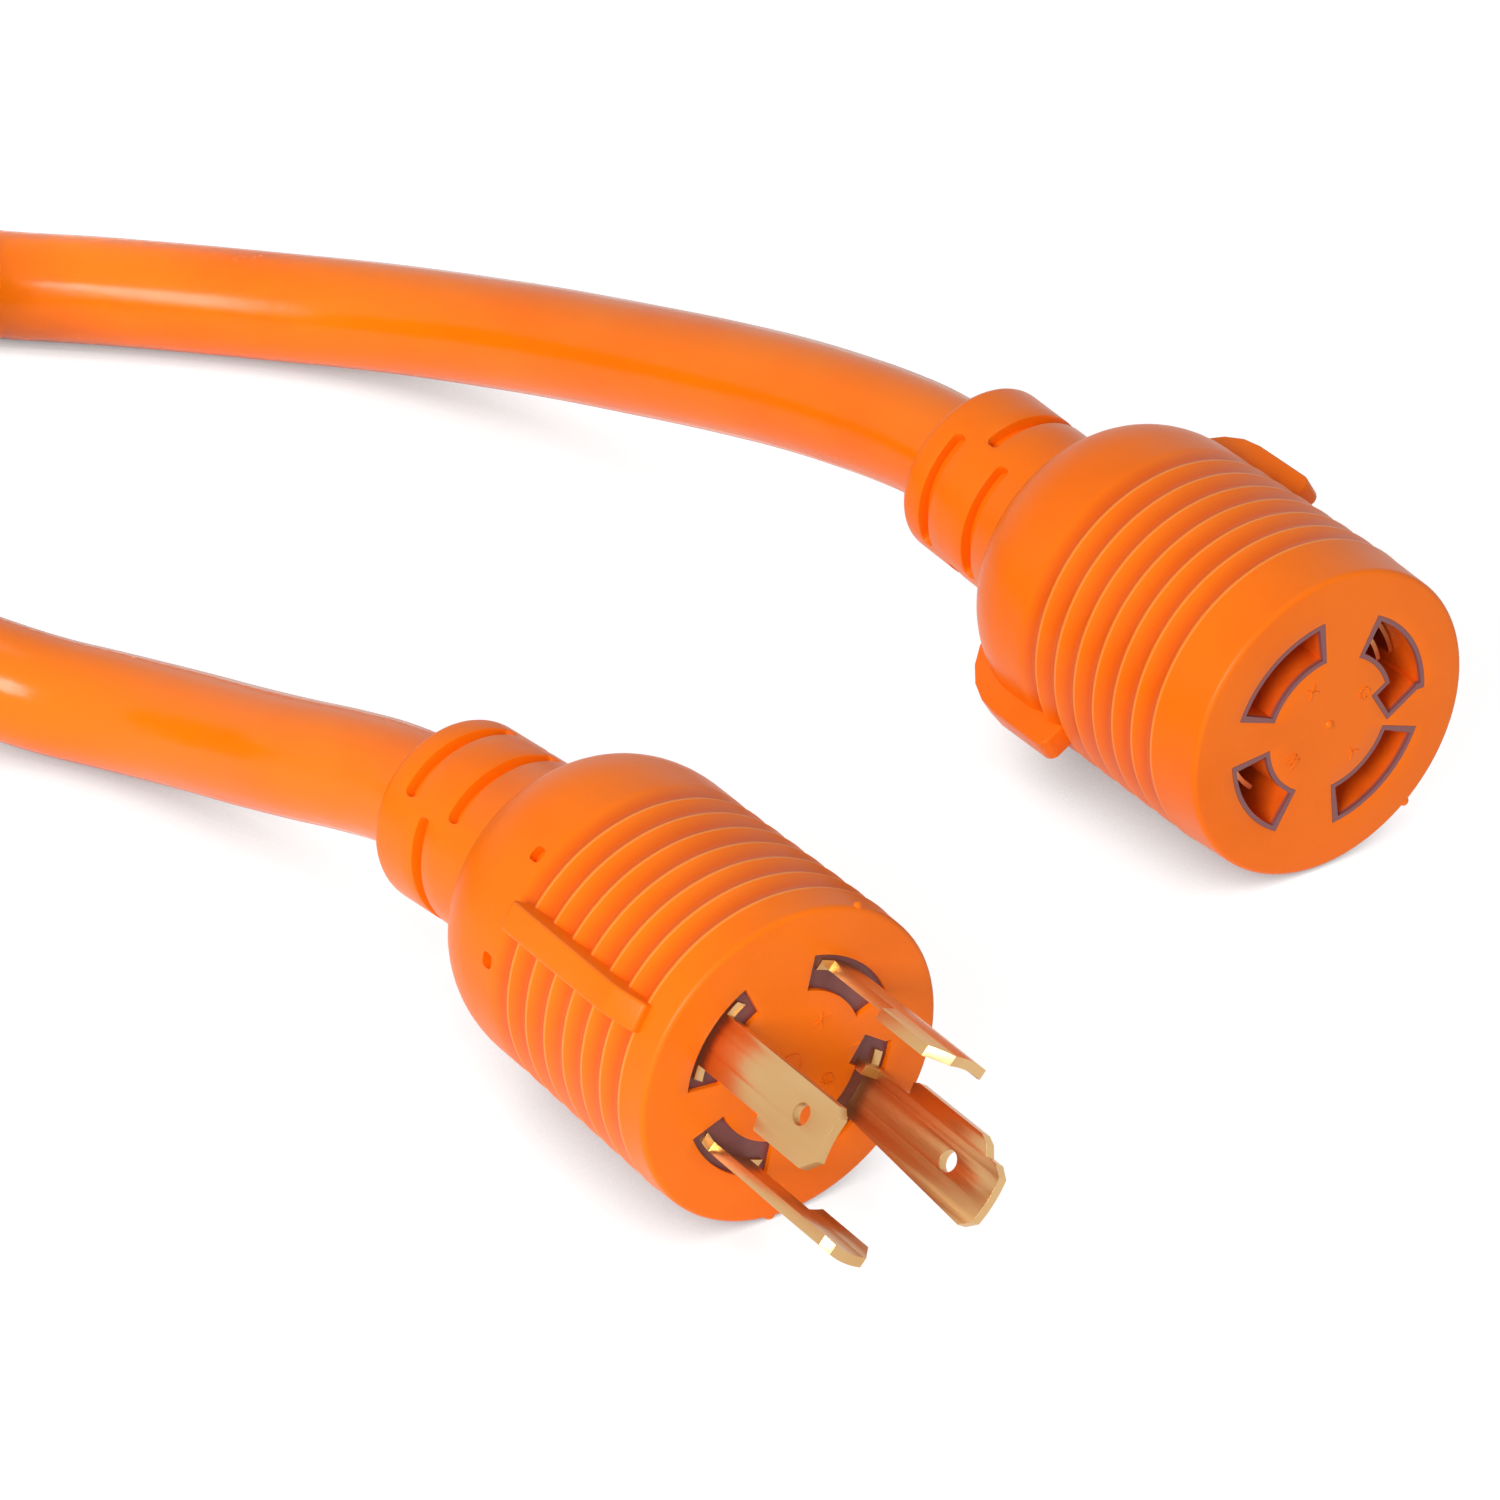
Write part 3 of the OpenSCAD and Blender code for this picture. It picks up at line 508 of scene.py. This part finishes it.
def raise_letter(shape, letter, angle, distance):
    # Each stroke is a low rounded bar that stands 0.15 mm out of the face.
    away, side = pole_axes(angle)
    for ends in pole_letters[letter]:
        start, end = [
            away * (distance + letter_height * (up - 0.5)) - side * letter_width * along
            for along, up in ends]
        run = (end - start).normalized()
        across = run.cross(Vector((1, 0, 0)))
        stroke = Matrix((
            Vector((0.3, 0, 0)), run * ((end - start).length + 0.25), across * 0.3)).transposed()
        bar = bmesh.ops.create_cube(
            shape, size=1, matrix=Matrix.Translation((start + end) / 2) @ stroke.to_4x4())["verts"]
        edges = list({e for v in bar for e in v.link_edges})
        bmesh.ops.bevel(shape, geom=edges, offset=0.06, segments=2, profile=0.5, affect="EDGES",
                        material=-1, clamp_overlap=True)


def leave_flash(shape, angle, rim, x):
    # A crumb of flash left where the two halves of the mould meet.
    at_rim = pole_axes(angle)[0] * (rim - 0.1) + Vector((x, 0, 0))
    bmesh.ops.create_icosphere(
        shape, subdivisions=3, radius=0.75,
        matrix=Matrix.Translation(at_rim) @ Matrix.Diagonal((0.7, 1, 1, 1)))


def finish_piece(shape, name, node, face_centre, material, tilt=None):
    if tilt:
        shape.transform(tilt)
    shape.transform(Matrix.Translation(face_centre) @ Matrix.Scale(0.001, 4))
    for face in shape.faces:
        face.smooth = True
    for edge in shape.edges:
        edge.smooth = len(edge.link_faces) == 2 and edge.calc_face_angle(0) < sharp_corner
    data = bpy.data.meshes.new(name)
    shape.to_mesh(data)
    shape.free()
    data.materials.append(material)
    piece = bpy.data.objects.new(name, data)
    scene.collection.objects.link(piece)
    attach(piece, "root")
    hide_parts(node)
    return piece


def strain_relief(foot, slot_angle):
    # A ribbed sleeve behind the shoulder that lets the cable bend gently: three
    # rows of paired slots cut it half through, the middle row turned by a quarter.
    radius, length, edge = 14.3, 26, 1.5
    slot_turn, slot_half, cut_depth = 42, 1.15, 1.9
    rows = [-foot - length * part for part in (0.38, 0.58, 0.78)]
    outline = [(5 - foot, 0), (5 - foot, radius)]
    for row in rows:
        outline += [(row + slot_half, radius), (row - slot_half, radius)]
    for step in range(7):
        turn = math.radians(15 * step)
        outline.append((
            -foot - length + edge - edge * math.sin(turn), radius - edge + edge * math.cos(turn)))
    outline += [(-foot - length, 9.5), (-foot - length + 0.4, 9.1), (-foot - length + 4, 9.1),
                (-foot - length + 4, 0)]
    ends = [slot_angle + turn + side * slot_turn for turn in (0, 90, 180, 270) for side in (-1, 1)]
    shape = spun([outline], ends, 4.0)
    shape.normal_update()
    bmesh.ops.recalc_face_normals(shape, faces=shape.faces)
    for row_number, row in enumerate(rows):
        for turn in (0, 180):
            away, side = pole_axes(slot_angle + turn + (90 if row_number == 1 else 0))
            cut = []
            for face in shape.faces:
                middle = face.calc_center_median()
                if abs(middle.x - row) < 0.2 and middle.yz.length > 13:
                    if abs(math.degrees(math.atan2(middle.dot(side), middle.dot(away)))) < slot_turn:
                        cut.append(face)
            sunk = bmesh.ops.extrude_face_region(shape, geom=cut)["geom"]
            bmesh.ops.delete(shape, geom=cut, context="FACES")
            floor_verts = [v for v in sunk if isinstance(v, bmesh.types.BMVert)]
            for vert in floor_verts:
                vert.co.yz = vert.co.yz * (radius - cut_depth) / vert.co.yz.length
            corners = []
            for vert in floor_verts:
                for e in vert.link_edges:
                    other = e.other_vert(vert)
                    if abs(other.co.yz.length - radius) < 0.01 and abs(other.co.x - vert.co.x) < 0.01:
                        at = abs(math.degrees(math.atan2(vert.co.dot(side), vert.co.dot(away))))
                        if at > slot_turn - 0.5:
                            corners.append(e)
            bmesh.ops.bevel(shape, geom=list(set(corners)), offset=0.95, segments=4, profile=0.5,
                            affect="EDGES", material=-1, clamp_overlap=True)
    shape.normal_update()
    lips = [
        e for e in shape.edges
        if len(e.link_faces) == 2 and e.calc_face_angle(0) > 0.9
        and all(abs(v.co.yz.length - radius) < 0.05 for v in e.verts)
        and -foot - length + edge < e.verts[0].co.x < -foot]
    bmesh.ops.bevel(shape, geom=lips, offset=0.25, segments=2, profile=0.5, affect="EDGES",
                    material=-1, clamp_overlap=True)
    return shape


def leaning(foot, rise, lean):
    # Turns what lies behind the shoulder about the shoulder's foot.
    at_foot = Matrix.Translation((-foot, 0, 0))
    turn = Matrix.Rotation(math.radians(lean), 4, "Z") @ Matrix.Rotation(math.radians(rise), 4, "Y")
    return at_foot @ turn @ at_foot.inverted()


# ---- Plug --------------------------------------------------------------------
# The smaller moulding, whose finger bars lie along its ridges and slope up from
# the front.  Its face has a window round the root of each blade.
plug_face = Vector((0.043675, -0.05872, 0.0247))
plug_rim, plug_crest, plug_barrel = 24.5, 24.7, 24.0
plug_band, plug_length = 5.5, 44
plug_bar = 148.8
plug_poles = [(-131, 28.5, None), (49, 28.5, None), (145, 28.5, None), (-35, 28.5, (3, 7.7, 9.9))]
window_inner, window_outer = 11.7, 17.2
dimple_back = 39.85
window_rings = (0, 4, 8.5, window_inner, 14.5, window_outer)
dimples = [plug_bar + turn + past_bar for turn in (0, 180) for past_bar in (-19.3, 21.6)]
plug_marks = [angle + side * half for angle, half, leg in plug_poles for side in (-1, 1)]
plug_marks += [dimple + side * 2.8 for dimple in dimples for side in (-1, 1)]
plug_shape = spun(
    [
        body_outline(
            plug_rim, plug_crest, plug_barrel, plug_band, plug_length, window_rings + (19.5,)),
        [(-skin, ring) for ring in window_rings] + [(-skin, body_bore), (-15, body_bore), (-15, 0)],
    ],
    plug_marks, 3.8)
mark_crests(plug_shape, plug_band, plug_crest, plug_barrel)
open_face(plug_shape, plug_poles, window_inner, window_outer)
for bar in (plug_bar, plug_bar + 180):
    add_finger_bar(
        plug_shape, bar,
        [(-4.6, 21), (-4.6, 25.8), (-9.8, 27.8), (-34.7, 27.8), (-35.5, 27), (-35.5, 21)], bar_half)
for dimple in dimples:
    sink_dimple(plug_shape, -dimple_back, dimple, plug_barrel)
for letter, angle in (("x", 49), ("y", -131), ("w", 145), ("g", -35)):
    raise_letter(plug_shape, letter, angle, 7.6)
# The round witness of the mould's gate, in the middle of the face.
gate_ring = bmesh.ops.create_circle(
    plug_shape, segments=14, radius=0.16, matrix=Matrix.Translation((0, 1.8, 0)))["verts"]
gate_edges = list({e for v in gate_ring for e in v.link_edges})
bmesh.ops.spin(plug_shape, geom=gate_ring + gate_edges, cent=(0, 0, 0), axis=(1, 0, 0),
               angle=math.radians(360), steps=36, use_merge=True)
bmesh.ops.recalc_face_normals(
    plug_shape, faces=[f for f in plug_shape.faces
                       if f.calc_center_median().x > -0.2 and 1.6 < f.calc_center_median().yz.length < 2])
for angle, x in ((-96, -0.7), (63, -0.7)):
    leave_flash(plug_shape, angle, plug_rim, x)
finish_piece(plug_shape, "plug_moulding", "plug_body", plug_face, body_vinyl)

# ---- Connector ---------------------------------------------------------------
# The larger moulding.  Its finger bars begin square behind the ridges and follow
# the shoulder down, and its face is open where the core's four slots come through.
connector_face = Vector((0.014775, 0.05788, 0.0255))
connector_rim, connector_crest, connector_barrel = 25, 25.5, 25.2
connector_band, connector_length = 9.8, 48
connector_bar, connector_bar_top = 32, 29
slot_inner, slot_outer = 11.0, 17.9
lip_turn = math.degrees(0.7 / 11.7)
connector_poles = [
    (128.3, 28.7 + lip_turn, None), (-51.7, 28.7 + lip_turn, None), (-147.7, 24 + lip_turn, None),
    (32.3, 27.2 + lip_turn, (-8.4, -2.3, 7.9))]
slot_rings = (0, 4, 7.4, slot_inner, 14.5, slot_outer)
connector_marks = [angle + side * half for angle, half, leg in connector_poles for side in (-1, 1)]
connector_shape = spun(
    [
        body_outline(
            connector_rim, connector_crest, connector_barrel, connector_band, connector_length,
            slot_rings + (20,)),
        [(-skin, ring) for ring in slot_rings] + [(-skin, body_bore), (-33, body_bore), (-33, 0)],
    ],
    connector_marks)
mark_crests(connector_shape, connector_band, connector_crest, connector_barrel)
open_face(connector_shape, connector_poles, slot_inner, slot_outer)
connector_bar_outline = [
    (-35.5, 12), (-35.5, connector_bar_top - 1.3), (-35.9, connector_bar_top - 0.5),
    (-36.8, connector_bar_top)]
for step in range(6):
    turn = math.radians(15 * step)
    along = -connector_length - shoulder_length * math.sin(turn)
    connector_bar_outline.append(
        (along, shoulder_foot + (connector_bar_top - shoulder_foot) * math.cos(turn)))
connector_bar_outline.append((along, 12))
for bar in (connector_bar, connector_bar + 180):
    add_finger_bar(connector_shape, bar, connector_bar_outline, bar_half)
bmesh.ops.create_uvsphere(
    connector_shape, u_segments=20, v_segments=10, radius=0.75,
    matrix=Matrix.Translation((-0.25, 0, 0)))
for letter, angle in (("x", 118), ("y", -53), ("w", -148), ("g", 28)):
    raise_letter(connector_shape, letter, angle, 7.2 if letter == "g" else 7.7)
leave_flash(connector_shape, -50, connector_rim, -0.5)
finish_piece(connector_shape, "connector_moulding", "connector_body", connector_face, body_vinyl)

# Each sleeve leans with the cable, which leaves the moulding a little to one side.
for name, node, length, slot_angle, rise, face_centre in (
    ("plug_strain_relief", "plug_body", plug_length, 100.5, -4, plug_face),
    ("connector_strain_relief", "connector_body", connector_length, 166, 5.5, connector_face),
):
    foot = length + shoulder_length
    finish_piece(strain_relief(foot, slot_angle), name, node, face_centre, body_vinyl,
                 leaning(foot, rise, 3))

# ---- Cores -------------------------------------------------------------------
# Hard purple-brown nylon cores hold the brass; round the connector's slots a thin
# lip of the core comes flush with the face, and behind it the slots look orange.
core_nylon = finish_material(
    "core nylon", (0.21, 0.06, 0.055), (0.13, 0.035, 0.035), 0.38, 0.1, 120, 1600, 0.12,
    specular=0.45)
slot_nylon = finish_material(
    "slot nylon", (0.9, 0.14, 0.006), (0.7, 0.08, 0.004), 0.3, 0.1, 90, 1600, 0.12,
    specular=0.45)
slot_nodes, slot_links = slot_nylon.node_tree.nodes, slot_nylon.node_tree.links
slot_place = slot_nodes.new("ShaderNodeTexCoord")
slot_split = slot_nodes.new("ShaderNodeSeparateXYZ")
slot_depth = slot_nodes.new("ShaderNodeMapRange")
slot_depth.inputs["From Min"].default_value = connector_face.x - 0.0009
slot_depth.inputs["From Max"].default_value = connector_face.x - 0.0004
slot_tint = slot_nodes.new("ShaderNodeMix")
slot_tint.data_type = "RGBA"
slot_tint.inputs[7].default_value = (0.25, 0.08, 0.08, 1)
slot_links.new(slot_place.outputs["Object"], slot_split.inputs["Vector"])
slot_links.new(slot_split.outputs["X"], slot_depth.inputs["Value"])
slot_links.new(slot_depth.outputs["Result"], slot_tint.inputs["Factor"])
slot_links.new(slot_nodes["wear"].outputs["Color"], slot_tint.inputs[6])
slot_links.new(slot_tint.outputs[2], slot_nodes["Principled BSDF"].inputs["Base Color"])
for node, material in (
    ("plug_core", core_nylon), ("connector_core", slot_nylon), ("connector_core_cap", core_nylon),
):
    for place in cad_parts[node].material_slots:
        place.material = material

# ---- Brass -------------------------------------------------------------------
# Four blades stamped from 1.5 mm brass strip and bent to one ring, with the press's
# rounded edges; the female contacts in the connector are of thinner strip.
blade_brass = finish_material(
    "blade brass", (0.70, 0.44, 0.20), (0.56, 0.30, 0.11), 0.28, 0.14, 60, 600, 0.015,
    stretch=(0.3, 1, 1), metallic=1.0)
contact_brass = finish_material(
    "contact brass", (0.75, 0.5, 0.22), (0.6, 0.36, 0.14), 0.3, 0.12, 120, 900, 0.1,
    metallic=1.0)
for pole in "xywg":
    node = "plug_blade_" + pole
    blade_shape = bmesh.new()
    blade_shape.from_mesh(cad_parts[node].data)
    bmesh.ops.remove_doubles(blade_shape, verts=blade_shape.verts, dist=0.000002)
    bmesh.ops.dissolve_limit(blade_shape, angle_limit=math.radians(1), verts=blade_shape.verts,
                             edges=blade_shape.edges)
    for face in blade_shape.faces:
        face.smooth = True
    blade_data = bpy.data.meshes.new(node + " brass")
    blade_shape.to_mesh(blade_data)
    blade_shape.free()
    blade_data.materials.clear()
    blade_data.materials.append(blade_brass)
    blade = bpy.data.objects.new(node + "_brass", blade_data)
    scene.collection.objects.link(blade)
    pressed_edge = blade.modifiers.new("pressed edge", "BEVEL")
    pressed_edge.width = 0.00025
    pressed_edge.segments = 3
    pressed_edge.limit_method = "ANGLE"
    pressed_edge.angle_limit = math.radians(30)
    pressed_edge.harden_normals = True
    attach(blade, "root")
    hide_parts(node)
    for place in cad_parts["connector_contact_" + pole].material_slots:
        place.material = contact_brass

# ---- Conductors --------------------------------------------------------------
# Inside each moulding the jacket is stripped and four insulated copper conductors
# fan out to the crimps of the blades and contacts.
for shade, color, dark in (
    ("red", (0.45, 0.006, 0.005), (0.36, 0.004, 0.004)),
    ("black", (0.012, 0.012, 0.012), (0.03, 0.03, 0.03)),
    ("white", (0.78, 0.78, 0.76), (0.68, 0.67, 0.64)),
    ("green", (0.01, 0.15, 0.03), (0.008, 0.11, 0.02)),
):
    insulation = finish_material(shade + " insulation", color, dark, 0.35, 0.1, 80, 900, 0.08)
    for end in ("plug", "connector"):
        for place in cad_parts[end + "_wire_" + shade].material_slots:
            place.material = insulation
bare_copper = finish_material(
    "bare copper", (0.72, 0.3, 0.16), (0.55, 0.2, 0.1), 0.3, 0.15, 150, 1400, 0.3, metallic=1.0)
for end in ("plug", "connector"):
    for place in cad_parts[end + "_conductors"].material_slots:
        place.material = bare_copper

# ---- Ground and light --------------------------------------------------------
# A plain white studio floor and a white surround.  One large soft lamp to the left
# of the camera does most of the work, and a small one lifts the cable by the coil.
floor_mesh = bmesh.new()
bmesh.ops.create_grid(floor_mesh, x_segments=1, y_segments=1, size=6)
floor_data = bpy.data.meshes.new("floor")
floor_mesh.to_mesh(floor_data)
floor_mesh.free()
floor = bpy.data.objects.new("floor", floor_data)
scene.collection.objects.link(floor)
floor_material = bpy.data.materials.new("floor")
floor_material.use_nodes = True
floor_nodes, floor_links = floor_material.node_tree.nodes, floor_material.node_tree.links
floor_nodes["Principled BSDF"].inputs["Base Color"].default_value = (0.9, 0.9, 0.9, 1)
floor_nodes["Principled BSDF"].inputs["Roughness"].default_value = 0.9
floor_nodes["Principled BSDF"].inputs["Specular IOR Level"].default_value = 0.1
world = bpy.data.worlds.new("world")
scene.world = world
world.use_nodes = True
world_nodes, world_links = world.node_tree.nodes, world.node_tree.links
world_nodes["Background"].inputs["Color"].default_value = (1, 1, 1, 1)


def seen_directly(nodes, links):
    # 1 where the camera, a reflection or a clear piece shows the ground or the sky,
    # and 0 where they only send light onto the object.
    sight = nodes.new("ShaderNodeLightPath")
    seen = sight.outputs["Is Camera Ray"]
    for ray in ("Is Glossy Ray", "Is Transmission Ray"):
        either = nodes.new("ShaderNodeMath")
        either.operation = "MAXIMUM"
        links.new(seen, either.inputs[0])
        links.new(sight.outputs[ray], either.inputs[1])
        seen = either.outputs[0]
    return seen


# Seen directly, the ground glows nearly white, less where the object stands close over it, which is a
# painted contact shadow taken from ambient occlusion, and a part of the light on it shows the softer
# shadow of the lamps.
floor_close = floor_nodes.new("ShaderNodeAmbientOcclusion")
floor_close.samples = 8
floor_close.inputs["Distance"].default_value = 0.022
floor_shade = floor_nodes.new("ShaderNodeMapRange")
floor_shade.inputs["From Max"].default_value = 0.5
floor_shade.inputs["To Min"].default_value = 0.2
floor_shade.inputs["To Max"].default_value = 0.92
floor_glow = floor_nodes.new("ShaderNodeEmission")
floor_lit = floor_nodes.new("ShaderNodeBsdfDiffuse")
floor_lit.inputs["Color"].default_value = (0.2, 0.2, 0.2, 1)
floor_sum = floor_nodes.new("ShaderNodeAddShader")
floor_mix = floor_nodes.new("ShaderNodeMixShader")
floor_links.new(floor_close.outputs["AO"], floor_shade.inputs["Value"])
floor_links.new(floor_shade.outputs["Result"], floor_glow.inputs["Strength"])
floor_links.new(floor_glow.outputs["Emission"], floor_sum.inputs[0])
floor_links.new(floor_lit.outputs["BSDF"], floor_sum.inputs[1])
floor_links.new(seen_directly(floor_nodes, floor_links), floor_mix.inputs["Fac"])
floor_links.new(floor_nodes["Principled BSDF"].outputs["BSDF"], floor_mix.inputs[1])
floor_links.new(floor_sum.outputs["Shader"], floor_mix.inputs[2])
floor_links.new(floor_mix.outputs["Shader"], floor_nodes["Material Output"].inputs["Surface"])
floor_data.materials.append(floor_material)
world_level = world_nodes.new("ShaderNodeMapRange")
world_level.inputs["To Min"].default_value = 0.33
world_level.inputs["To Max"].default_value = 1.0
world_links.new(seen_directly(world_nodes, world_links), world_level.inputs["Value"])
world_links.new(world_level.outputs["Result"], world_nodes["Background"].inputs["Strength"])

for name, place, aim, width, power, spread in (
    ("side softbox", (0.62, -1.08, 0.7), (-0.05, 0, 0), 0.6, 16, 180),
    ("overhead softbox", (-0.1, 0.2, 1.3), (-0.05, 0, 0), 0.5, 1, 180),
    ("front softbox", (1.2, -0.4, 0.6), (0, 0, 0), 0.5, 0.7, 180),
    ("coil fill", (0.1, -0.1, 0.5), (-0.285, -0.04, 0), 0.1, 0.035, 18),
):
    lamp_data = bpy.data.lights.new(name, "AREA")
    lamp_data.shape = "SQUARE"
    lamp_data.size = width
    lamp_data.energy = power
    lamp_data.spread = math.radians(spread)
    lamp = bpy.data.objects.new(name, lamp_data)
    lamp.location = place
    lamp.rotation_euler = (Vector(aim) - Vector(place)).to_track_quat("-Z", "Y").to_euler()
    scene.collection.objects.link(lamp)

bpy.context.view_layer.update()
